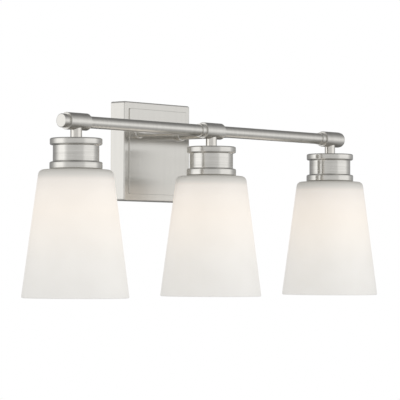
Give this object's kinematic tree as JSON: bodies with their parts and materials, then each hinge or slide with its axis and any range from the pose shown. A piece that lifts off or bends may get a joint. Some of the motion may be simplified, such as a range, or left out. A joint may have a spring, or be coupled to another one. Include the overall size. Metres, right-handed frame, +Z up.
{
  "type": "vanity light bar",
  "caption": "Wall light bar: a square plate and two arms carry a round bar with downward lamps in tapered etched glass shades, nickel fittings and screw-in bulbs.",
  "frame": {"origin": "middle of the wall plate on the wall's surface, between the strap's two wall-box slots", "axes": "+X along the bar to the viewer's right, +Y into the wall, +Z up"},
  "size_m": [0.604, 0.1735, 0.2404],
  "materials": {
    "brushed_nickel": "brushed nickel plate on steel and zinc",
    "zinc_steel": "bright zinc plated steel",
    "green_screw": "green dyed steel, the earth terminal",
    "holder_body": "glazed white insulating body",
    "ring_plastic": "moulded white threaded ring",
    "brass_shell": "drawn brass",
    "etched_glass": "opal white glass, acid etched outside",
    "bulb_cap": "rolled aluminium screw cap",
    "bulb_glass": "frosted white glass, lit warm",
    "lead_sleeve": "sleeved twin lead"
  },
  "bodies": {
    "fixture": {"wall_plate": "brushed_nickel", "arm_left": "brushed_nickel", "arm_right": "brushed_nickel", "arm_collar_left": "brushed_nickel", "arm_collar_right": "brushed_nickel", "cross_bar": "brushed_nickel", "bar_cap_left": "brushed_nickel", "bar_cap_right": "brushed_nickel", "sleeve_left": "brushed_nickel", "stem_left": "brushed_nickel", "cup_left": "brushed_nickel", "sleeve_middle": "brushed_nickel", "stem_middle": "brushed_nickel", "cup_middle": "brushed_nickel", "sleeve_right": "brushed_nickel", "stem_right": "brushed_nickel", "cup_right": "brushed_nickel", "mounting_strap": "zinc_steel", "plate_lock_screws": "zinc_steel", "earth_screw": "green_screw", "arm_nut_left": "zinc_steel", "arm_nut_right": "zinc_steel", "nipple_left": "zinc_steel", "cup_nut_left": "zinc_steel", "holder_left": "holder_body", "screw_shell_left": "brass_shell", "contact_left": "brass_shell", "shade_ring_left": "ring_plastic", "shade_left": "etched_glass", "lead_wire_left": "lead_sleeve", "nipple_middle": "zinc_steel", "cup_nut_middle": "zinc_steel", "holder_middle": "holder_body", "screw_shell_middle": "brass_shell", "contact_middle": "brass_shell", "shade_ring_middle": "ring_plastic", "shade_middle": "etched_glass", "lead_wire_middle": "lead_sleeve", "nipple_right": "zinc_steel", "cup_nut_right": "zinc_steel", "holder_right": "holder_body", "screw_shell_right": "brass_shell", "contact_right": "brass_shell", "shade_ring_right": "ring_plastic", "shade_right": "etched_glass", "lead_wire_right": "lead_sleeve"},
    "bulb_left": {"bulb_cap_left": "bulb_cap", "bulb_glass_left": "bulb_glass"},
    "bulb_middle": {"bulb_cap_middle": "bulb_cap", "bulb_glass_middle": "bulb_glass"},
    "bulb_right": {"bulb_cap_right": "bulb_cap", "bulb_glass_right": "bulb_glass"}
  },
  "joints": [
    {"name": "bulb_left_out", "type": "slide", "parent": "fixture", "child": "bulb_left", "axis": [0, 0, -1], "range_m": [0, 0.165]},
    {"name": "bulb_middle_out", "type": "slide", "parent": "fixture", "child": "bulb_middle", "axis": [0, 0, -1], "range_m": [0, 0.165]},
    {"name": "bulb_right_out", "type": "slide", "parent": "fixture", "child": "bulb_right", "axis": [0, 0, -1], "range_m": [0, 0.165]}
  ]
}
